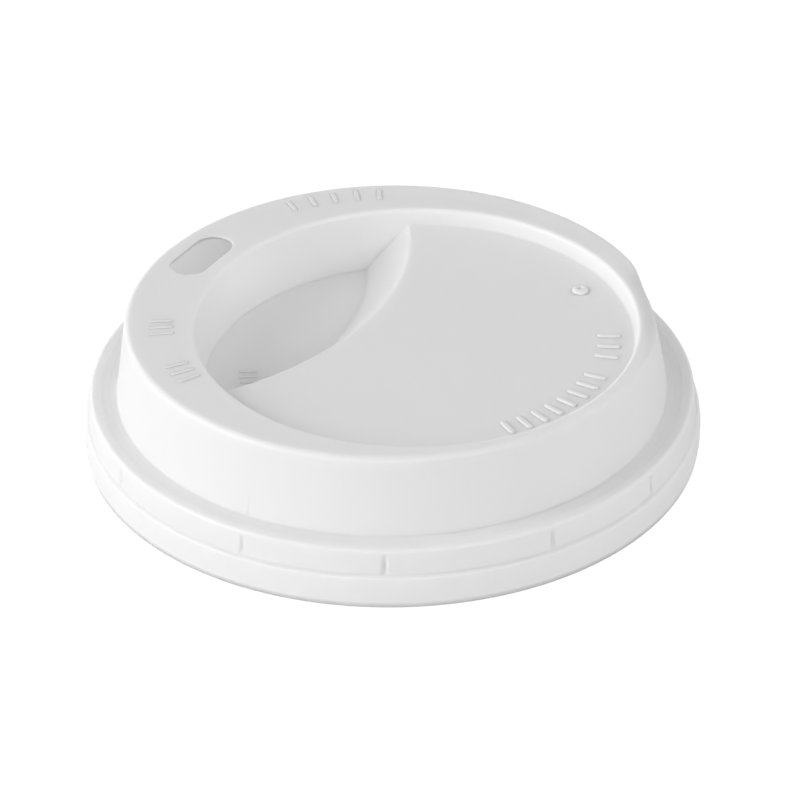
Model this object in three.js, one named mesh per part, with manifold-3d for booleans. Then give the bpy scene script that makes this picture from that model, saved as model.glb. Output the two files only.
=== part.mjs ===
// Travel lid for a takeaway coffee cup: one thermoformed shell of white plastic.
// Millimetres, +Z up, origin at the centre of the bottom edge, drinking side toward -Y.
// The shell is the outer form minus the same form drawn in by the wall thickness.
import * as THREE from 'three';
import { mergeVertices } from 'three/addons/utils/BufferGeometryUtils.js';
import Module from 'manifold-3d';

const { PI, sin, cos, tan, acos, abs, max, hypot, atan2 } = Math;
const wasm = await Module();
wasm.setup();

// Shell
const WALL = 0.45; // wall thickness
const TURN_STEPS = 64; // facets round a full turn

// Skirt, from the bottom edge up to the shelf that the cup's rolled rim sits under
const LIP_R = 46.0;
const BELLY = 0.35; // how far the lower band swells past the lip
const BELLY_Z = 2.2;
const SNAP_Z = 4.8; // snap step between the lower and the upper band
const SNAP_IN = 0.45;
const SHELF_Z = 8.95;
const SHELF_IN = 1.0; // shelf's edge, in from the lip
const SHELF_R = LIP_R - SHELF_IN;
const RING_IN = 1.6; // fine line round the shelf, in from its edge
const RING_DROP = 0.12;

// Dome
const SHELF_WIDTH = 4.0;
const SHELF_FALL = 0.45; // the shelf slopes down to the foot of the dome
const DOME_FOOT_R = SHELF_R - SHELF_WIDTH;
const DOME_FOOT_Z = SHELF_Z - SHELF_FALL;
const DOME_DRAFT = 0.14; // radius lost per millimetre of height
const RIM_Z = 20.4;
const RIM_EDGE = 0.9; // radius of the outer corner
const RIM_R = DOME_FOOT_R - DOME_DRAFT * (RIM_Z - DOME_FOOT_Z);

// The narrow part of the rim rolls over more softly on one side
const SOFT_AZIMUTH = 122;
const SOFT_HALF_SPAN = 24;
const SOFT_DROP = 2.2;
const SOFT_WIDTH = 3.6;

// Recess in the top, slightly oval and set back from the drinking side
const RIM_BACK_WIDTH = 2.4; // narrowest width of the rim, at the back
const RECESS_BACK = 4.35;
const RECESS_R = RIM_R - RIM_BACK_WIDTH - RECESS_BACK; // half its short width
const RECESS_OVAL = 1.033; // long width over short width
const RECESS_LONG_AZIMUTH = 28;
const RECESS_DRAFT = 0.12;
const RECESS_EDGE = 0.6;
const PANEL_DEPTH = 2.5;
const PANEL_Z = RIM_Z - PANEL_DEPTH;
const PANEL_CORNER = 0.5;

// Deeper lens-shaped well on the drinking side of the recess
const WELL_DEPTH = 6.5; // below the panel
const WELL_Z = PANEL_Z - WELL_DEPTH;
const WELL_CORNER = 0.8;
const STEP_TOP = { radius: 46.8, at: -4.3 }; // arc of the step at the panel, and where it crosses Y
const STEP_FOOT = { radius: 38.4, at: -10.9 }; // arc of the step at the well's floor
const STEP_EDGE = 1.2;

// Sip hole, an obround in the wide part of the rim
const SIP_LENGTH = 11.0;
const SIP_WIDTH = 5.4;
const SIP_AT = 33.7;

// Air vent, a pimple on the panel with a pinhole
const VENT_AT = 30.8;
const VENT_AZIMUTH = 143.5;
const VENT_R = 1.0;
const VENT_HEIGHT = 0.45;
const PINHOLE_R = 0.35;

// Plain raised bars in an arc round the back of the panel
const BAR_COUNT = 11;
const BAR_ARC = 68;
const BAR_AT = 28.0; // from the middle of the recess
const BAR_LENGTH = 2.6;
const BAR_WIDTH = 1.0;
const BAR_HEIGHT = 0.35;

// Short upright notches round the upper band
const NOTCH_COUNT = 12;
const NOTCH_WIDTH = 0.5;
const NOTCH_DEPTH = 0.2;
const NOTCH_HEIGHT = 2.4;

const CLEAR = 1; // how far a cutter runs past the face it opens

const radians = (degrees) => (degrees * PI) / 180;
const smooth = (t) => t * t * (3 - 2 * t);

/** Outline through [x, y, corner radius] points with each corner rounded by an arc. */
function rounded(corners, stepsPerQuarter = 3) {
  return corners.flatMap(([x, y, radius = 0], i) => {
    const corner = new THREE.Vector2(x, y);
    if (!radius || i === 0 || i === corners.length - 1) return [corner];
    const back = new THREE.Vector2(...corners[i - 1].slice(0, 2)).sub(corner).normalize();
    const ahead = new THREE.Vector2(...corners[i + 1].slice(0, 2)).sub(corner).normalize();
    const half = acos(back.dot(ahead)) / 2;
    const centre = back.clone().add(ahead).normalize().multiplyScalar(radius / sin(half)).add(corner);
    const first = back.multiplyScalar(radius / tan(half)).add(corner).sub(centre);
    const last = ahead.multiplyScalar(radius / tan(half)).add(corner).sub(centre);
    const sweep = atan2(first.cross(last), first.dot(last));
    const steps = max(1, Math.round((abs(sweep) / (PI / 2)) * stepsPerQuarter));
    return Array.from({ length: steps + 1 }, (_, k) =>
      first.clone().rotateAround(new THREE.Vector2(), (sweep * k) / steps).add(centre));
  });
}

/** The same outline moved to its left by a distance, with mitred corners. */
function offset(points, distance) {
  const normal = (a, b) => new THREE.Vector2(a.y - b.y, b.x - a.x).normalize();
  return points.map((point, i) => {
    const before = normal(points[max(i - 1, 0)], points[max(i, 1)]);
    const next = Math.min(i, points.length - 2);
    const after = normal(points[next], points[next + 1]);
    const mitre = before.clone().add(after).multiplyScalar(distance / (1 + before.dot(after)));
    return point.clone().add(mitre);
  });
}

/** Geometry as a closed solid, welded by position. */
function solid(geometry) {
  const bare = geometry.clone();
  bare.deleteAttribute('normal');
  bare.deleteAttribute('uv');
  const welded = mergeVertices(bare, 1e-4);
  const mesh = new wasm.Mesh({
    numProp: 3,
    vertProperties: new Float32Array(welded.attributes.position.array),
    triVerts: new Uint32Array(welded.index.array),
  });
  mesh.merge();
  return new wasm.Manifold(mesh);
}

/** Outline [radius, height] turned about Z. */
function turned(points) {
  const onAxis = points.map((p, i) => (i === 0 || i === points.length - 1 ? new THREE.Vector2(0, p.y) : p));
  return new THREE.LatheGeometry(onAxis, TURN_STEPS).rotateX(PI / 2);
}

/** Outside of the lid without its recess, from the bottom edge to the middle of the top. */
function lidOutline() {
  return rounded([
    [LIP_R, 0],
    [LIP_R + BELLY, BELLY_Z, 8],
    [LIP_R, SNAP_Z, 0.25],
    [LIP_R - SNAP_IN, SNAP_Z + SNAP_IN / 2, 0.25],
    [SHELF_R, SHELF_Z, 0.6],
    [SHELF_R - RING_IN, SHELF_Z],
    [SHELF_R - RING_IN - RING_DROP, SHELF_Z - RING_DROP],
    [DOME_FOOT_R, DOME_FOOT_Z, 0.3],
    [RIM_R, RIM_Z, RIM_EDGE],
    [0, RIM_Z],
  ]);
}

/** Rolls the rim's outer edge down over the soft part of the turn. */
function softenRim(geometry) {
  const position = geometry.attributes.position;
  for (let i = 0; i < position.count; i += 1) {
    const [x, y, z] = [position.getX(i), position.getY(i), position.getZ(i)];
    const turn = THREE.MathUtils.euclideanModulo(atan2(y, x) - radians(SOFT_AZIMUTH) + PI, 2 * PI) - PI;
    const near = smooth(max(0, 1 - abs(turn) / radians(SOFT_HALF_SPAN)));
    const out = max(0, hypot(x, y) - (RIM_R - SOFT_WIDTH)) / SOFT_WIDTH;
    const up = max(0, (z - DOME_FOOT_Z) / (RIM_Z - DOME_FOOT_Z));
    position.setZ(i, z - SOFT_DROP * near * out * out * up * up);
  }
  return geometry;
}

/** Outer form of the lid, or its hollow where the outline is drawn in by an inset. */
function form(inset) {
  const side = offset(lidOutline(), inset);
  const bottom = inset ? -CLEAR : 0;
  const start = new THREE.Vector2(side[0].x, bottom);
  return solid(softenRim(turned([new THREE.Vector2(0, bottom), start, ...side.slice(inset ? 0 : 1)])));
}

/** Round dish with a flat floor, sloping side, rounded foot and an edge that flares to the brim. */
function dish({ floor, brim, radius, slope, foot, edge }, grown) {
  const side = rounded([
    [0, floor],
    [radius - slope * (brim - floor), floor, foot],
    [radius, brim, edge],
    [radius + 1.2 * edge, brim],
  ]);
  const skin = offset(side, -grown);
  const top = RIM_Z + CLEAR;
  const last = skin[skin.length - 1];
  return turned([...skin, new THREE.Vector2(last.x, top), new THREE.Vector2(0, top)]);
}

/** Recess side wall cut down to a floor, on the recess's own centre. */
function recess(floor, foot, grown) {
  const shape = { floor, brim: RIM_Z, radius: RECESS_R, slope: RECESS_DRAFT, foot, edge: RECESS_EDGE };
  const long = radians(RECESS_LONG_AZIMUTH);
  return solid(dish(shape, grown).rotateZ(-long).scale(RECESS_OVAL, 1, 1).rotateZ(long)
    .translate(0, RECESS_BACK, 0));
}

/** Sloping step between panel and well: a leaning cone, far wider than the well. */
function step(grown) {
  const rise = PANEL_Z - WELL_Z;
  const slope = (STEP_TOP.radius - STEP_FOOT.radius) / rise;
  const middle = ({ radius, at }) => at - radius;
  const lean = (middle(STEP_TOP) - middle(STEP_FOOT)) / rise;
  const shape = { floor: WELL_Z, brim: PANEL_Z, radius: STEP_TOP.radius, slope, foot: WELL_CORNER, edge: STEP_EDGE };
  const shear = new THREE.Matrix4().makeShear(0, 0, 0, 0, 0, lean);
  return solid(dish(shape, grown).translate(0, 0, -PANEL_Z).applyMatrix4(shear)
    .translate(0, middle(STEP_TOP), PANEL_Z));
}

/** Everything sunk into the top: the recess and the lens-shaped well. */
function sunk(grown) {
  return recess(PANEL_Z, PANEL_CORNER, grown).add(recess(WELL_Z, WELL_CORNER, grown).intersect(step(grown)));
}

/** Obround slug for the sip hole. */
function sipHole() {
  const end = SIP_WIDTH / 2;
  const half = SIP_LENGTH / 2 - end;
  const outline = new THREE.Shape().absarc(half, 0, end, -PI / 2, PI / 2).absarc(-half, 0, end, PI / 2, 1.5 * PI);
  const slug = new THREE.ExtrudeGeometry(outline, { depth: 4 * CLEAR, bevelEnabled: false, curveSegments: 12 });
  return solid(slug.translate(0, -SIP_AT, RIM_Z - 2 * CLEAR));
}

/** Moves a geometry out from the recess's or the lid's centre and turns it to an azimuth. */
const place = (geometry, out, azimuth, z) => geometry.translate(out, 0, z).rotateZ(radians(azimuth));

/** Low pimple on the panel, and the pinhole through it. */
function vent() {
  const bump = new THREE.SphereGeometry(1, 20, 12).scale(VENT_R, VENT_R, VENT_HEIGHT);
  const pin = new THREE.CylinderGeometry(PINHOLE_R, PINHOLE_R, 4 * CLEAR, 12).rotateX(PI / 2);
  return [bump, pin].map((shape) => solid(place(shape, VENT_AT, VENT_AZIMUTH, PANEL_Z)));
}

/** Plain bars standing on the panel, evenly spaced round its back. */
function bars() {
  return Array.from({ length: BAR_COUNT }, (_, i) => {
    const bar = new THREE.BoxGeometry(BAR_LENGTH, BAR_WIDTH, 2 * BAR_HEIGHT);
    const azimuth = 90 + BAR_ARC * (i / (BAR_COUNT - 1) - 0.5);
    return solid(place(bar, BAR_AT, azimuth, PANEL_Z).translate(0, RECESS_BACK, 0));
  });
}

/** Shallow upright notches that lean with the upper band. */
function notches() {
  const foot = new THREE.Vector2(LIP_R - SNAP_IN, SNAP_Z + SNAP_IN / 2);
  const head = new THREE.Vector2(SHELF_R, SHELF_Z);
  const middle = foot.clone().lerp(head, 0.5);
  const lean = atan2(foot.x - head.x, head.y - foot.y);
  return Array.from({ length: NOTCH_COUNT }, (_, i) => {
    const notch = new THREE.BoxGeometry(NOTCH_DEPTH + CLEAR, NOTCH_WIDTH, NOTCH_HEIGHT)
      .translate((CLEAR - NOTCH_DEPTH) / 2, 0, 0).rotateY(-lean);
    return solid(place(notch, middle.x, (360 * i) / NOTCH_COUNT, middle.y));
  });
}

function lidSolid() {
  const [bump, pinhole] = vent();
  let lid = form(0).subtract(sunk(0)).subtract(form(WALL).subtract(sunk(WALL)));
  for (const piece of [bump, ...bars()]) lid = lid.add(piece);
  for (const piece of [pinhole, sipHole(), ...notches()]) lid = lid.subtract(piece);
  return lid;
}

function meshOf(name, manifold, material) {
  const { vertProperties, triVerts } = manifold.getMesh();
  const geometry = new THREE.BufferGeometry();
  geometry.setAttribute('position', new THREE.BufferAttribute(vertProperties, 3));
  geometry.setIndex(new THREE.BufferAttribute(triVerts, 1));
  geometry.computeVertexNormals();
  const mesh = new THREE.Mesh(geometry, material);
  mesh.name = name;
  return mesh;
}

const whitePlastic = new THREE.MeshStandardMaterial({ color: 0xf2f2f2, roughness: 0.42, metalness: 0 });

const coffeeCupLid = new THREE.Group();
coffeeCupLid.name = 'coffee_cup_lid';
coffeeCupLid.add(meshOf('lid', lidSolid(), whitePlastic));

export default coffeeCupLid;
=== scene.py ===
"""White travel lid for a takeaway coffee cup, in soft studio light on white.

The fine shell is one mesh, worked out in millimetres with +Z up and the drinking side toward -Y, and
stands in for the CAD node. Most of its sizes are the part's; some were read off the photo again.
Angles named turn run from the drinking side (-Y) anticlockwise seen from above, in degrees among the
settings and in radians inside most functions.
"""

import math

import bmesh
import bpy
import numpy as np
from mathutils import Matrix, Vector


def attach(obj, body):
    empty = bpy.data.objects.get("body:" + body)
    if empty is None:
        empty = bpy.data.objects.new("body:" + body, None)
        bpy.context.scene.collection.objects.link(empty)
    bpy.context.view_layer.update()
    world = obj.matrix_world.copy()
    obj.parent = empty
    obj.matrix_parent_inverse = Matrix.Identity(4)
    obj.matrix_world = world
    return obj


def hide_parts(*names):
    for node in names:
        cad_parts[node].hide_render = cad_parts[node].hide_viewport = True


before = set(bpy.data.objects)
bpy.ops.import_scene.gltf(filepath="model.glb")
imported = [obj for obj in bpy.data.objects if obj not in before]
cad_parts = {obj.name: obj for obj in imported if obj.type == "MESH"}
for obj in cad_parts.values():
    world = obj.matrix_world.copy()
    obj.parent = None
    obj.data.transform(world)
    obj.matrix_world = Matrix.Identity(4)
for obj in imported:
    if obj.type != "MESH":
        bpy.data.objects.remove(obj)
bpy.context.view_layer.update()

MM = 0.001

# Skirt and shelf
WALL = 0.45
LIP_R, BELLY, BELLY_Z, BELLY_ROUND = 46.0, 0.35, 2.2, 8
SNAP_Z, SNAP_IN, SNAP_ROUND = 4.8, 0.55, 0.25
SHELF_Z, SHELF_R, SHELF_ROUND = 8.95, LIP_R - 1.0, 0.6
RING_IN, RING_DROP, RING_ROUND = 1.6, 0.12, 0.15
LINE_R, LINE_DROP, LINE_ROUND = 42.3, 0.08, 0.06
LINE_Z = SHELF_Z - 0.25

# Dome and rim
DOME_FOOT_R, DOME_FOOT_Z, DOME_FOOT_ROUND = SHELF_R - 4.0, SHELF_Z - 0.45, 0.3
DOME_DRAFT = 0.14
RIM_Z, RIM_EDGE = 20.4, 0.9
RIM_R = DOME_FOOT_R - DOME_DRAFT * (RIM_Z - DOME_FOOT_Z)
RIM_LIFT, LIFT_TURN = 0.2, 300.0

# Stretch of the rim whose edge rolls over more softly: the turns of its two ends, and their fades
SOFT_START, SOFT_IN, SOFT_END, SOFT_OUT = 232.5, 11.0, 186.0, 26.0
SOFT_DROP, SOFT_PULL, SOFT_WIDTH = 1.7, 0.35, 3.4

# Recess with its panel
RECESS_SIDE, RECESS_BACK = 0.3, 4.35
RIM_BACK_WIDTH = 2.4
RECESS_R = RIM_R - RIM_BACK_WIDTH - RECESS_BACK
RECESS_OVAL, RECESS_LONG_TURN = 1.033, 118.0
RECESS_DRAFT, RECESS_EDGE = 0.12, 0.6
PANEL_Z, PANEL_CORNER = RIM_Z - 2.5, 0.4

# Well, and the arcs of the step down to it: radius, and how far back the middle lies
WELL_Z, WELL_CORNER = PANEL_Z - 7.0, 0.3
STEP_SIDE = 0.2
STEP_TOP_R, STEP_TOP_BACK = 49.0, -53.1
STEP_FOOT_R, STEP_FOOT_BACK = 43.4, -54.4
STEP_BLEND = 0.035

# Sip hole
SIP_LENGTH, SIP_WIDTH, SIP_AT, SIP_SIDE = 12.6, 5.9, 33.7, -0.9
SIP_MARGIN = 1.8  # from the hole's ends to the cells that make way for it
SIP_RINGS = (0.35, 0.65, 0.85)  # places of the rings between those cells and the hole

# Notches round the upper band, and one score at the foot of the dome
NOTCH_WIDTH, NOTCH_DEPTH = 0.8, 0.42
NOTCH_LOW, NOTCH_LOW_FADE, NOTCH_HIGH, NOTCH_HIGH_FADE = 5.2, 0.3, 7.7, 0.6
NOTCH_TURNS = (2, 29, 60, 92, 118.3, 149.5, 175, 208, 239, 270, 300, 330)
SCORE_WIDTH, SCORE_DEPTH, SCORE_TURN = 0.4, 0.2, 90.2
SCORE_HIGH, SCORE_FADE = 11.6, 0.6
SCORE_START, SCORE_SPARE = 0.1, 0.2  # above the dome's foot, and outside it
GROOVE_SHOULDER = 1.3  # a groove's reach to either side, in half widths

# Vent pimple with a dimple for its pinhole
VENT_AT, VENT_TURN, VENT_R, VENT_HEIGHT = 30.2, 229.5, 1.3, 0.55

# Plain low bars where the real lid has raised marks; size is length, width and height
PANEL_TURNS = [208.5, 202.5, 196.7] + [185.0 - 5.5 * k for k in range(8)]
BARS = (
    {"turns": PANEL_TURNS, "at": 28.4, "size": (3.5, 0.95, 0.3), "z": PANEL_Z,
     "middle": (RECESS_SIDE, RECESS_BACK)},
    {"turns": [325.0 - 5.6 * k for k in range(5)], "at": 36.2, "size": (3.3, 0.75, 0.08), "z": RIM_Z,
     "middle": (0, 0)},
    {"turns": (33.0, 36.0, 39.0, 54.5, 58.0, 61.5), "at": 34.0, "size": (3.6, 0.7, 0.09), "z": RIM_Z,
     "middle": (0, 0)},
    {"turns": (32.0, 36.0, 40.0), "at": 21.4, "size": (2.8, 0.6, 0.09), "z": WELL_Z, "middle": (0, 0)},
)

# Rings of the raised forms, as shares of their radius and height
BAR_PROFILE = ((1.0, 0.3), (0.8, 0.75), (0.5, 0.97), (0.2, 1.0))
VENT_PROFILE = ((0.93, 0.4), (0.75, 0.85), (0.55, 1.0), (0.4, 0.95), (0.3, 0.6), (0.28, 1 / 11))
MOUND_SEAT = 0.1  # how far a raised form reaches into the surface
MOUND_END_STEPS = 10
VENT_STRAIGHT = 0.001  # next to nothing, as the vent is round

# How finely each skin is divided; the outer one has exactly twice the inner one's columns
OUTER = {"inset": 0, "across": 200, "lens_rows": 14, "panel_rows": 22, "step_rows": 16, "arc_steps": 6,
         "longest": 1.1, "rim_rows": 12, "pace": 2, "hole_steps": 3, "hole_edge": 0.12}
INNER = {"inset": WALL, "across": 100, "lens_rows": 8, "panel_rows": 12, "step_rows": 8, "arc_steps": 3,
         "longest": 2.4, "rim_rows": 6, "pace": 1, "hole_steps": 2, "hole_edge": 0.06}
WALL_STEPS = 6
TURN_SAMPLES = 20001
NOTCH_CROWD = 7  # extra columns at a notch, in times the plain number
HALVINGS = 50
CROSSING_LOW, CROSSING_HIGH = 0.2, 2.2  # every step arc meets the recess's foot between these, in radians


def smooth(t):
    """0 below 0, 1 above 1, and an S-curve between."""
    t = np.clip(t, 0.0, 1.0)
    return t * t * (3 - 2 * t)


def turn_gap(a, b):
    """Signed difference of two angles, in radians."""
    return (a - b + math.pi) % (2 * math.pi) - math.pi


def rounded(corners, arc_steps):
    """Outline through (x, y, radius) corners, each rounded by a tangent arc."""
    points = []
    for i, (x, y, radius) in enumerate(corners):
        here = np.array([x, y])
        if radius == 0 or i in (0, len(corners) - 1):
            points.append(here)
            continue
        back = np.array(corners[i - 1][:2]) - here
        ahead = np.array(corners[i + 1][:2]) - here
        back, ahead = back / np.linalg.norm(back), ahead / np.linalg.norm(ahead)
        half = math.acos(np.clip(back @ ahead, -1, 1)) / 2
        middle = back + ahead
        centre = here + middle / np.linalg.norm(middle) * radius / math.sin(half)
        first = here + back * radius / math.tan(half) - centre
        last = here + ahead * radius / math.tan(half) - centre
        sweep = math.atan2(first[0] * last[1] - first[1] * last[0], first @ last)
        steps = max(1, round(abs(sweep) / (math.pi / 2) * arc_steps))
        for k in range(steps + 1):
            c, s = math.cos(sweep * k / steps), math.sin(sweep * k / steps)
            points.append(centre + [first[0] * c - first[1] * s, first[0] * s + first[1] * c])
    return np.array(points)


def offset(points, distance):
    """The outline moved to its left, with mitred corners."""
    edges = np.diff(points, axis=0)
    normals = np.stack([-edges[:, 1], edges[:, 0]], 1) / np.linalg.norm(edges, axis=1)[:, None]
    before = np.concatenate([normals[:1], normals])
    after = np.concatenate([normals, normals[-1:]])
    spread = 1 + (before * after).sum(1, keepdims=True)
    return points + (before + after) * distance / spread


def split_long(points, longest):
    """Adds points along the outline where two neighbours are far apart."""
    out = [points[0]]
    for a, b in zip(points[:-1], points[1:]):
        steps = max(1, math.ceil(np.linalg.norm(b - a) / longest))
        out += [a + (b - a) * k / steps for k in range(1, steps + 1)]
    return np.array(out)


def side_outline(detail):
    """Lip, skirt, shelf and dome as (radius, height), up to where the flat rim starts."""
    points = rounded([
        (LIP_R, 0, 0),
        (LIP_R + BELLY, BELLY_Z, BELLY_ROUND),
        (LIP_R, SNAP_Z, SNAP_ROUND),
        (LIP_R - SNAP_IN, SNAP_Z + SNAP_IN / 2, SNAP_ROUND),
        (SHELF_R, SHELF_Z, SHELF_ROUND),
        (SHELF_R - RING_IN, SHELF_Z, RING_ROUND),
        (SHELF_R - RING_IN - RING_DROP, SHELF_Z - RING_DROP, RING_ROUND),
        (LINE_R, LINE_Z, LINE_ROUND),
        (LINE_R - LINE_DROP, LINE_Z - LINE_DROP, LINE_ROUND),
        (DOME_FOOT_R, DOME_FOOT_Z, DOME_FOOT_ROUND),
        (RIM_R, RIM_Z, RIM_EDGE),
        (RIM_R - 2 * RIM_EDGE, RIM_Z, 0),
    ], detail["arc_steps"])
    return split_long(offset(points, detail["inset"])[:-1], detail["longest"])


def step_share(x, y):
    """0 on the arc at the step's top, 1 on the arc at its foot, and beyond on either side."""
    lean, shrink = STEP_FOOT_BACK - STEP_TOP_BACK, STEP_FOOT_R - STEP_TOP_R
    a = lean ** 2 - shrink ** 2
    b = -2 * (lean * (y - STEP_TOP_BACK) + STEP_TOP_R * shrink)
    c = (x - STEP_SIDE) ** 2 + (y - STEP_TOP_BACK) ** 2 - STEP_TOP_R ** 2
    return (-b + np.sqrt(np.maximum(b * b - 4 * a * c, 0))) / (2 * a)


def ramp(share):
    """Straight from 0 to 1 with both ends rounded over the blend."""
    h = STEP_BLEND
    low = np.where(share < -h, 0, np.where(share > h, share, (share + h) ** 2 / (4 * h)))
    high = 1 - share
    top = np.where(high < -h, 0, np.where(high > h, high, (high + h) ** 2 / (4 * h)))
    return np.where(share < 0.5, low, 1 - top)


def floor_at(share):
    """Height of the recess's floor at a step share: panel, slope or well."""
    return PANEL_Z - (PANEL_Z - WELL_Z) * ramp(share)


def recess_point(turn, q):
    """Place on the recess's oval at a distance q from its middle."""
    long = math.radians(RECESS_LONG_TURN)
    x, y = np.sin(turn), -np.cos(turn)
    along = (RECESS_OVAL - 1) * (x * math.sin(long) - y * math.cos(long))
    return RECESS_SIDE + q * (x + along * math.sin(long)), RECESS_BACK + q * (y - along * math.cos(long))


SIDE_ANGLE = math.atan(1 / RECESS_DRAFT)
FILLET_REACH = math.tan(SIDE_ANGLE / 2)  # from the corner to a fillet's end, in radii


def foot_q(floor, corner):
    """Distance from the recess's middle at which the foot's fillet meets a floor."""
    return RECESS_R - RECESS_DRAFT * (RIM_Z - floor) - corner * FILLET_REACH


def corner_at(floor):
    """Radius of the foot's fillet, blended from the panel's to the well's."""
    share = (PANEL_Z - floor) / (PANEL_Z - WELL_Z)
    return PANEL_CORNER + (WELL_CORNER - PANEL_CORNER) * share


def recess_side(floor, arc_steps):
    """(q, z) from the flat rim down the recess's side to its floor, for one column."""
    corner = corner_at(floor)
    angles = np.linspace(0, SIDE_ANGLE, arc_steps + 1)
    q_top = RECESS_R + RECESS_EDGE * FILLET_REACH
    top = np.stack([q_top - RECESS_EDGE * np.sin(angles), RIM_Z - RECESS_EDGE * (1 - np.cos(angles))], 1)
    rise = angles[::-1]
    low = np.stack([foot_q(floor, corner) + corner * np.sin(rise), floor + corner * (1 - np.cos(rise))], 1)
    share = np.linspace(0, 1, WALL_STEPS + 1)[1:-1, None]
    return np.concatenate([top, top[-1] + (low[0] - top[-1]) * share, low])


def loop_turn(share, side):
    """Turn at which the floor's outline crosses the arc of one step share, on one side."""
    floor = floor_at(np.array(share))
    q = foot_q(floor, corner_at(floor))
    low, high = CROSSING_LOW, CROSSING_HIGH
    for _ in range(HALVINGS):
        middle = (low + high) / 2
        if step_share(*recess_point(side * middle, q)) > share:
            low = middle
        else:
            high = middle
    return side * (low + high) / 2


def spread_turns(start, stop, count):
    """Turns from start to stop: even, but denser at each notch."""
    fine = np.linspace(start, stop, TURN_SAMPLES)
    weight = np.ones_like(fine)
    for mark in np.radians(NOTCH_TURNS + (SCORE_TURN,)):
        near = np.abs(turn_gap(fine, mark)) * LIP_R
        weight += NOTCH_CROWD * (near < NOTCH_WIDTH * GROOVE_SHOULDER)
    total = np.concatenate([[0], np.cumsum((weight[1:] + weight[:-1]) / 2)])
    return np.interp(np.linspace(0, total[-1], count + 1), total, fine)


class Skin:
    """Vertices and faces of one side of the shell."""

    def __init__(self):
        self.vertices, self.faces, self.count = [], [], 0

    def add(self, points):
        """Adds points and returns their numbers, in the same arrangement."""
        points = np.asarray(points, float)
        first = self.count
        self.vertices.append(points.reshape(-1, 3))
        self.count += points.size // 3
        return np.arange(first, self.count).reshape(points.shape[:-1])

    def ring(self, xy, z):
        """Adds a ring of points at one height."""
        return self.add(np.column_stack([xy, np.full(len(xy), z)]))

    def grid(self, index, skip=()):
        """Quads between the rows of vertex numbers, without the cells to skip."""
        for i in range(index.shape[0] - 1):
            for j in range(index.shape[1] - 1):
                if (i, j) not in skip:
                    self.faces.append((index[i, j], index[i, j + 1], index[i + 1, j + 1], index[i + 1, j]))

    def bridge(self, outer, inner):
        """Quads between two rings of as many points; returns the second ring."""
        for k in range(len(outer)):
            n = (k + 1) % len(outer)
            self.faces.append((outer[k], outer[n], inner[n], inner[k]))
        return inner


def notch_depth(radius, turn, z):
    """How far the notches press a point of the upper band in."""
    gap = np.min([np.abs(turn_gap(turn, mark)) for mark in np.radians(NOTCH_TURNS)], axis=0)
    tall = smooth((z - NOTCH_LOW) / NOTCH_LOW_FADE) * smooth((NOTCH_HIGH - z) / NOTCH_HIGH_FADE)
    tall = tall * (radius > SHELF_R - SHELF_ROUND)
    return NOTCH_DEPTH * smooth(GROOVE_SHOULDER - gap * LIP_R / (NOTCH_WIDTH / 2)) * tall


def score_depth(radius, turn, z):
    """How far the score presses a point of the dome in."""
    gap = np.abs(turn_gap(turn, math.radians(SCORE_TURN))) * DOME_FOOT_R / (SCORE_WIDTH / 2)
    on_dome = (z > DOME_FOOT_Z + SCORE_START) * (radius < DOME_FOOT_R + SCORE_SPARE) * (radius > RIM_R)
    return SCORE_DEPTH * smooth(GROOVE_SHOULDER - gap) * smooth((SCORE_HIGH - z) / SCORE_FADE) * on_dome


def displaced(points):
    """Rolls the rim's soft stretch down, lifts its back and presses the notches and the score in."""
    x, y, z = points[..., 0], points[..., 1], points[..., 2]
    radius, turn = np.hypot(x, y), np.arctan2(x, -y)
    degrees = np.degrees(turn) % 360
    near = smooth((SOFT_START - degrees) / SOFT_IN) * smooth((degrees - SOFT_END) / SOFT_OUT)
    out = np.clip((radius - (RIM_R - SOFT_WIDTH)) / SOFT_WIDTH, 0, None)
    up = np.clip((z - DOME_FOOT_Z) / (RIM_Z - DOME_FOOT_Z), 0, None)
    drop = SOFT_DROP * near * out ** 2 * up ** 2
    back = np.maximum(np.cos(turn - math.radians(LIFT_TURN)), 0)
    lift = RIM_LIFT * back * np.clip(out, 0, 1) * np.minimum(up, 1) ** 2
    inward = SOFT_PULL * near * np.minimum(out, 1) * up ** 2
    inward = inward + notch_depth(radius, turn, z) + score_depth(radius, turn, z)
    scale = 1 - inward / np.maximum(radius, 1)
    return np.stack([x * scale, y * scale, z - drop + lift], -1)


def columns(detail):
    """Turns of all columns, their step shares, the arcs' shares and the turns of the front stretch."""
    across = detail["across"]
    shares = np.linspace(-STEP_BLEND, 1 + STEP_BLEND, detail["step_rows"] + 1)
    right, left = [np.array([loop_turn(k, side) for k in shares]) for side in (1, -1)]
    front = spread_turns(left[-1], right[-1], across)
    back = spread_turns(right[0], 2 * math.pi + left[0], across)
    turns = np.concatenate([front[:-1], right[::-1][:-1], back[:-1], 2 * math.pi + left[:-1]])
    share = np.concatenate([
        np.full(across, shares[-1]), shares[::-1][:-1], np.full(across, shares[0]), shares[:-1]])
    return turns, share, shares, front


def ring_rows(turns, share, detail):
    """Rows from the lip over dome and rim to the recess's foot, and the number before the flat rim."""
    side = side_outline(detail)
    sin, cos = np.sin(turns), np.cos(turns)
    heights = np.repeat(side[:, 1:], len(turns), 1)
    outside = np.stack([side[:, :1] * sin, -side[:, :1] * cos, heights], -1)
    wall = np.array([recess_side(floor, detail["arc_steps"]) for floor in floor_at(share)])
    q = wall[..., 0].T + detail["inset"] * SIDE_ANGLE / (math.pi / 2)
    x, y = recess_point(turns[None], q)
    sunk = np.stack([x, y, wall[..., 1].T - detail["inset"]], -1)
    mix = np.linspace(0, 1, detail["rim_rows"] + 2)[1:-1, None, None]
    rim = outside[-1] + (sunk[0] - outside[-1]) * mix
    return displaced(np.concatenate([outside, rim, sunk])), len(outside)


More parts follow.
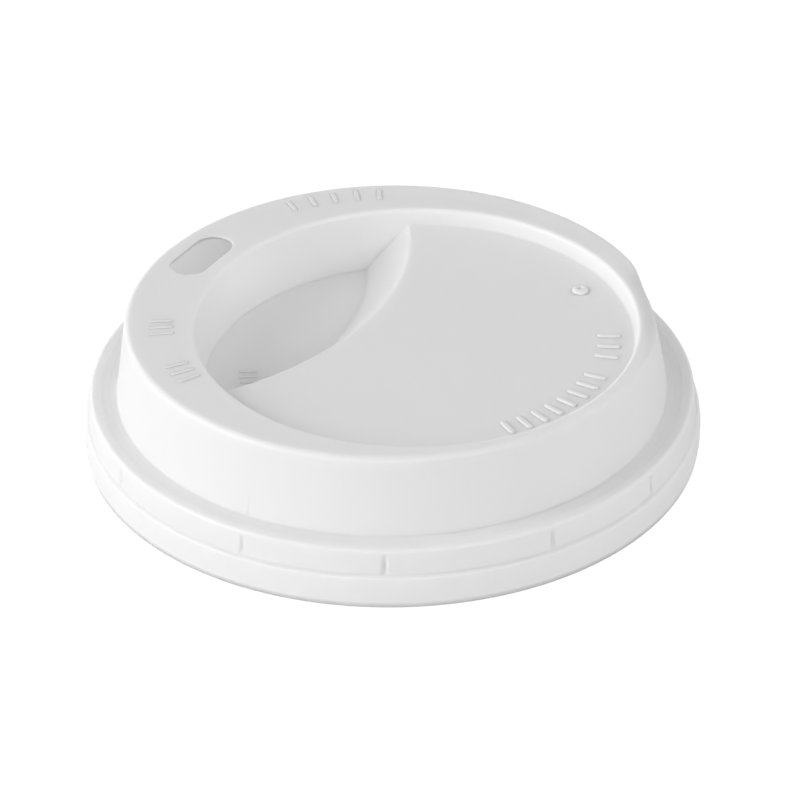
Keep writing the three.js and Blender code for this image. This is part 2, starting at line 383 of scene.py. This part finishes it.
def hole_block(closed, first_row, front, detail):
    """Cells of the flat rim that make way for the sip hole, and the loop round them."""
    pace, last_row = detail["pace"], first_row + detail["rim_rows"]
    ends = [(SIP_SIDE + way * (SIP_LENGTH / 2 + SIP_MARGIN)) / SIP_AT for way in (-1, 1)]
    left, right = [pace * int(np.abs(front[::pace] - end).argmin()) for end in ends]
    cells = {(i, j) for i in range(first_row, last_row) for j in range(left, right)}
    loop = np.concatenate([closed[first_row, left:right], closed[first_row:last_row, right],
                           closed[last_row, right:left:-1], closed[last_row:first_row:-1, left]])
    return cells, loop


def arc_across(share, right, left, count):
    """Points along the arc of one step share, from its right end to its left one."""
    middle = STEP_TOP_BACK + (STEP_FOOT_BACK - STEP_TOP_BACK) * share
    a0, a1 = [math.atan2(end[0] - STEP_SIDE, end[1] - middle) for end in (right, left)]
    r0, r1 = [math.hypot(end[0] - STEP_SIDE, end[1] - middle) for end in (right, left)]
    v = np.linspace(0, 1, count + 1)
    angle, radius = a0 + (a1 - a0) * v, r0 + (r1 - r0) * v
    return np.stack([STEP_SIDE + radius * np.sin(angle), middle + radius * np.cos(angle)], 1)


def recess_floor(s, foot, foot_xy, shares, detail):
    """Panel, step and well as lines across the recess, from the back of its foot to the front."""
    across, step_rows = detail["across"], detail["step_rows"]
    right, left = np.arange(across, across + step_rows + 1), np.arange(-step_rows, 1)
    back, front = np.arange(across + step_rows, 2 * across + step_rows + 1), np.arange(across, -1, -1)
    arcs = [arc_across(share, foot_xy[right[step_rows - k]], foot_xy[left[k]], across)
            for k, share in enumerate(shares)]

    def line(xy, start, end):
        z = floor_at(step_share(xy[:, 0], xy[:, 1])) - detail["inset"]
        return np.concatenate([[foot[start]], s.add(np.column_stack([xy, z])[1:-1]), [foot[end]]])

    lines = [foot[back]]
    for u in np.linspace(0, 1, detail["panel_rows"] + 1)[1:-1]:
        lines.append(line(foot_xy[back] + (arcs[0] - foot_xy[back]) * u, right[-1], left[0]))
    for k, arc in enumerate(arcs):
        lines.append(line(arc, right[step_rows - k], left[k]))
    for u in np.linspace(0, 1, detail["lens_rows"] + 1)[1:-1]:
        lines.append(line(arcs[-1] + (foot_xy[front] - arcs[-1]) * u, right[0], left[-1]))
    lines.append(foot[front])
    s.grid(np.array(lines))


def skin(detail):
    """Outer or inner skin of the lid, with its lip and the loop round the sip hole's cells."""
    s = Skin()
    turns, share, shares, front = columns(detail)
    rows, flat_row = ring_rows(turns, share, detail)
    index = s.add(rows)
    closed = np.concatenate([index, index[:, :1]], 1)
    cells, loop = hole_block(closed, flat_row, front, detail)
    s.grid(closed, cells)
    recess_floor(s, index[-1], rows[-1, :, :2], shares, detail)
    return s, index[0], loop


def obround(angle, grow):
    """Point of the sip hole's outline, grown, in each direction from its middle."""
    radius, half = SIP_WIDTH / 2 + grow, SIP_LENGTH / 2 - SIP_WIDTH / 2
    c, s = np.cos(angle), np.sin(angle)
    flat = radius / np.maximum(np.abs(s), 1e-9)
    b = half * np.abs(c)
    round_end = b + np.sqrt(np.maximum(b * b - half * half + radius * radius, 0))
    reach = np.where(np.abs(flat * c) <= half, flat, round_end)
    return np.stack([SIP_SIDE + reach * c, reach * s - SIP_AT], 1)


def hole_angles(s, loop):
    """Directions from the sip hole's middle to the points of the loop round it."""
    outline = np.concatenate(s.vertices)[loop]
    return np.arctan2(outline[:, 1] + SIP_AT, outline[:, 0] - SIP_SIDE)


def hole_rings(s, loop, angle, detail):
    """Rings from the loop to the sip hole and over its edge; returns the last one."""
    outline = np.concatenate(s.vertices)[loop][:, :2]
    edge, steps = detail["hole_edge"], detail["hole_steps"]
    top, into_wall = RIM_Z - detail["inset"], 1 if detail["inset"] == 0 else -1
    start = obround(angle, edge)
    ring = loop
    for t in SIP_RINGS:
        ring = s.bridge(ring, s.ring(outline + (start - outline) * t, top))
    for k in range(steps + 1):
        a = math.pi / 2 * k / steps
        z = top - edge * (1 - math.cos(a)) * into_wall
        ring = s.bridge(ring, s.ring(obround(angle, edge * (1 - math.sin(a))), z))
    return ring


def mound(s, place, direction, straight, radius, height, profile):
    """Low raised cap of obround rings, open below, whose foot lies a little under the surface."""
    right = np.linspace(-math.pi / 2, math.pi / 2, MOUND_END_STEPS + 1)
    turn = np.concatenate([right, right + math.pi])
    shift = np.repeat([straight / 2, -straight / 2], MOUND_END_STEPS + 1)
    c, sn = math.cos(direction), math.sin(direction)
    ring = None
    for r, z in [(radius, -MOUND_SEAT)] + [(radius * a, height * b) for a, b in profile]:
        x, y = r * np.cos(turn) + shift, r * np.sin(turn)
        points = [place[0] + x * c - y * sn, place[1] + x * sn + y * c, np.full(len(x), place[2] + z)]
        here = s.add(displaced(np.stack(points, 1)))
        ring = here if ring is None else s.bridge(ring, here)
    s.faces.append(tuple(ring))


def around(middle, at, turn, z):
    """Place at a distance and a turn from a middle, at one height."""
    return middle[0] + at * math.sin(turn), middle[1] - at * math.cos(turn), z


def raised_forms(s):
    """All plain bars, and the vent."""
    for row in BARS:
        length, width, height = row["size"]
        for turn in np.radians(row["turns"]):
            place = around(row["middle"], row["at"], turn, row["z"])
            mound(s, place, turn - math.pi / 2, length - width, width / 2, height, BAR_PROFILE)
    place = around((0, 0), VENT_AT, math.radians(VENT_TURN), PANEL_Z)
    mound(s, place, 0, VENT_STRAIGHT, VENT_R, VENT_HEIGHT, VENT_PROFILE)


def stitch(faces, fine, coarse):
    """Joins a loop to one with half as many points, which starts beside it."""
    count = len(coarse)
    for k in range(count):
        a, b, c = fine[2 * k], fine[2 * k + 1], fine[(2 * k + 2) % len(fine)]
        d, e = coarse[k], coarse[(k + 1) % count]
        faces += [(a, b, d), (b, e, d), (b, c, e)]


# Material of each kind of face: how deep light goes in metres, and the base colour's two tones
PLASTICS = (
    ("white plastic", 0.0008, 0.935, 0.95),
    ("white plastic inside", 0.005, 0.935, 0.95),
    # The raised bars and vent take a darker copy of the same white: painted shade, so their lit tops come
    # out no brighter than the panel.
    ("white plastic raised painted shade", 0.0, 0.81, 0.83),
)
OUTSIDE, INSIDE, RAISED = range(len(PLASTICS))
PLASTIC_ROUGHNESS, PLASTIC_IOR = 0.42, 1.49
CLOUD_SCALE, CLOUD_DETAIL = 60, 3


def shell():
    """Outer and inner skins joined at the lip and through the sip hole, with the raised forms."""
    outer, lip_out, loop_out = skin(OUTER)
    angle = hole_angles(outer, loop_out)
    hole_out = hole_rings(outer, loop_out, angle, OUTER)
    inner, lip_in, loop_in = skin(INNER)
    hole_in = hole_rings(inner, loop_in, angle[::2], INNER)
    kinds = [OUTSIDE] * len(outer.faces)
    raised_forms(outer)
    kinds += [RAISED] * (len(outer.faces) - len(kinds)) + [INSIDE] * len(inner.faces)
    shift = outer.count
    faces = outer.faces + [tuple(i + shift for i in reversed(face)) for face in inner.faces]
    stitch(faces, np.roll(lip_out[::-1], 1), np.roll(lip_in[::-1], 1) + shift)
    stitch(faces, hole_out, hole_in + shift)
    kinds += [OUTSIDE] * (len(faces) - len(kinds))
    return np.concatenate(outer.vertices + inner.vertices), faces, kinds


def mesh_object(name, vertices, faces, kinds, materials):
    """Smooth object in metres from vertices in millimetres, with a material for each kind of face."""
    mesh = bpy.data.meshes.new(name)
    mesh.from_pydata([tuple(v * MM) for v in vertices], [], [tuple(int(i) for i in f) for f in faces])
    outward = bmesh.new()
    outward.from_mesh(mesh)
    bmesh.ops.recalc_face_normals(outward, faces=outward.faces)
    outward.to_mesh(mesh)
    outward.free()
    for material in materials:
        mesh.materials.append(material)
    mesh.polygons.foreach_set("material_index", kinds)
    mesh.shade_smooth()
    piece = bpy.data.objects.new(name, mesh)
    bpy.context.collection.objects.link(piece)
    return piece


def white_plastic(name, depth, low, high):
    """Satin white plastic with a faint cloud of tone, which light enters to a depth."""
    material = bpy.data.materials.new(name)
    material.use_nodes = True
    nodes, links = material.node_tree.nodes, material.node_tree.links
    shader = nodes["Principled BSDF"]
    shader.inputs["Roughness"].default_value = PLASTIC_ROUGHNESS
    shader.inputs["IOR"].default_value = PLASTIC_IOR
    shader.inputs["Subsurface Weight"].default_value = 1.0 if depth else 0.0
    shader.inputs["Subsurface Radius"].default_value = (1, 1, 1)
    shader.inputs["Subsurface Scale"].default_value = depth
    place = nodes.new("ShaderNodeTexCoord")
    cloud = nodes.new("ShaderNodeTexNoise")
    cloud.inputs["Scale"].default_value = CLOUD_SCALE
    cloud.inputs["Detail"].default_value = CLOUD_DETAIL
    tone = nodes.new("ShaderNodeMix")
    tone.data_type = "RGBA"
    tone.inputs["A"].default_value = (low, low, low, 1)
    tone.inputs["B"].default_value = (high, high, high, 1)
    links.new(place.outputs["Object"], cloud.inputs["Vector"])
    links.new(cloud.outputs["Fac"], tone.inputs["Factor"])
    links.new(tone.outputs["Result"], shader.inputs["Base Color"])
    return material


vertices, faces, kinds = shell()
lid = mesh_object("lid_fine", vertices, faces, kinds, [white_plastic(*plastic) for plastic in PLASTICS])
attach(lid, "root")
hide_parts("lid")

# Photo's camera: a perspective view fitted to the lid's rings
VIEW_TURN, VIEW_UP, VIEW_ROLL = 120.0, 32.75, -0.58
VIEW_DISTANCE = 500.0
PIXELS_PER_MM = 6.628
IMAGE_SIZE = 800
ORIGIN_PIXEL = (391.85, 428.2)
SENSOR_WIDTH = 36
CLIP_START, CLIP_END = 0.01, 50


def toward(turn, up):
    """Unit vector from the lid to a place at a turn and a height angle, in degrees."""
    a, e = math.radians(turn), math.radians(up)
    return Vector((math.sin(a) * math.cos(e), -math.cos(a) * math.cos(e), math.sin(e)))


def photo_camera():
    """Camera whose image puts the row's origin where the photo has it."""
    back = toward(VIEW_TURN, VIEW_UP)
    data = bpy.data.cameras.new("camera")
    data.sensor_width = SENSOR_WIDTH
    data.lens = SENSOR_WIDTH * PIXELS_PER_MM * VIEW_DISTANCE / IMAGE_SIZE
    middle = (IMAGE_SIZE - 1) / 2
    data.shift_x = (middle - ORIGIN_PIXEL[0]) / IMAGE_SIZE
    data.shift_y = (ORIGIN_PIXEL[1] - middle) / IMAGE_SIZE
    data.clip_start, data.clip_end = CLIP_START, CLIP_END
    camera = bpy.data.objects.new("camera", data)
    bpy.context.collection.objects.link(camera)
    level = (-back).to_track_quat("-Z", "Y").to_matrix()
    roll = Matrix.Rotation(math.radians(VIEW_ROLL), 3, "Z")
    camera.matrix_world = Matrix.Translation(back * VIEW_DISTANCE * MM) @ (level @ roll).to_4x4()
    bpy.context.scene.camera = camera


# Lamps, all at one distance in metres: name, turn, height angle, size in metres, watts
LAMP_DISTANCE = 1.1
LAMPS = (
    ("key", 45, 25, 0.7, 6.5),
    ("front", 115, 25, 0.8, 2.1),
    ("front right", 165, 25, 0.8, 2.1),
    ("right", 215, 25, 0.8, 1.5),
    ("back right", 260, 35, 0.8, 1.2),
    ("back left", 345, 35, 0.8, 0.4),
    ("low back left", 345, 12, 0.7, 2.1),
)
WORLD_LIGHT = 0.37
FLOOR_SIDE, FLOOR_DROP = 6.0, 0.0001
FLOOR_COLOUR = 0.9
FLOOR_GLOW, FLOOR_SEEN = 0.92, 0.2  # as the camera sees it: its own white, and what light adds


def area_light(name, turn, up, size, power):
    """Square soft light at a turn and a height angle, aimed at the lid."""
    data = bpy.data.lights.new(name, "AREA")
    data.shape, data.size, data.energy = "SQUARE", size, power
    lamp = bpy.data.objects.new(name, data)
    bpy.context.collection.objects.link(lamp)
    away = toward(turn, up)
    lamp.location = away * LAMP_DISTANCE
    lamp.rotation_mode = "QUATERNION"
    lamp.rotation_quaternion = (-away).to_track_quat("-Z", "Y")


def floor_white():
    """Plain white floor; to the camera it is white with only a faint shadow of the lid."""
    material = bpy.data.materials.new("white floor")
    material.use_nodes = True
    nodes, links = material.node_tree.nodes, material.node_tree.links
    nodes.clear()
    real, seen = nodes.new("ShaderNodeBsdfDiffuse"), nodes.new("ShaderNodeBsdfDiffuse")
    glow, both = nodes.new("ShaderNodeEmission"), nodes.new("ShaderNodeAddShader")
    pick, path = nodes.new("ShaderNodeMixShader"), nodes.new("ShaderNodeLightPath")
    out = nodes.new("ShaderNodeOutputMaterial")
    real.inputs["Color"].default_value = (FLOOR_COLOUR, FLOOR_COLOUR, FLOOR_COLOUR, 1)
    seen.inputs["Color"].default_value = (FLOOR_SEEN, FLOOR_SEEN, FLOOR_SEEN, 1)
    glow.inputs["Strength"].default_value = FLOOR_GLOW
    links.new(seen.outputs[0], both.inputs[0])
    links.new(glow.outputs[0], both.inputs[1])
    links.new(path.outputs["Is Camera Ray"], pick.inputs["Fac"])
    links.new(real.outputs[0], pick.inputs[1])
    links.new(both.outputs[0], pick.inputs[2])
    links.new(pick.outputs[0], out.inputs["Surface"])
    return material


def studio_floor():
    """Wide floor just below the lid."""
    corners = [(x * FLOOR_SIDE, y * FLOOR_SIDE, 0) for x, y in ((-1, -1), (1, -1), (1, 1), (-1, 1))]
    mesh = bpy.data.meshes.new("floor")
    mesh.from_pydata(corners, [], [(0, 1, 2, 3)])
    mesh.materials.append(floor_white())
    floor = bpy.data.objects.new("floor", mesh)
    floor.location.z = -FLOOR_DROP
    bpy.context.collection.objects.link(floor)


def studio_world():
    """Even soft light from all round, and plain white to the camera."""
    world = bpy.data.worlds.new("studio")
    bpy.context.scene.world = world
    world.use_nodes = True
    nodes, links = world.node_tree.nodes, world.node_tree.links
    light, white = nodes["Background"], nodes.new("ShaderNodeBackground")
    pick, path = nodes.new("ShaderNodeMixShader"), nodes.new("ShaderNodeLightPath")
    light.inputs["Color"].default_value = (1, 1, 1, 1)
    light.inputs["Strength"].default_value = WORLD_LIGHT
    white.inputs["Color"].default_value = (1, 1, 1, 1)
    links.new(path.outputs["Is Camera Ray"], pick.inputs["Fac"])
    links.new(light.outputs[0], pick.inputs[1])
    links.new(white.outputs[0], pick.inputs[2])
    links.new(pick.outputs[0], nodes["World Output"].inputs["Surface"])


studio_floor()
studio_world()
for lamp in LAMPS:
    area_light(*lamp)
photo_camera()
bpy.context.scene.view_settings.view_transform = "Standard"
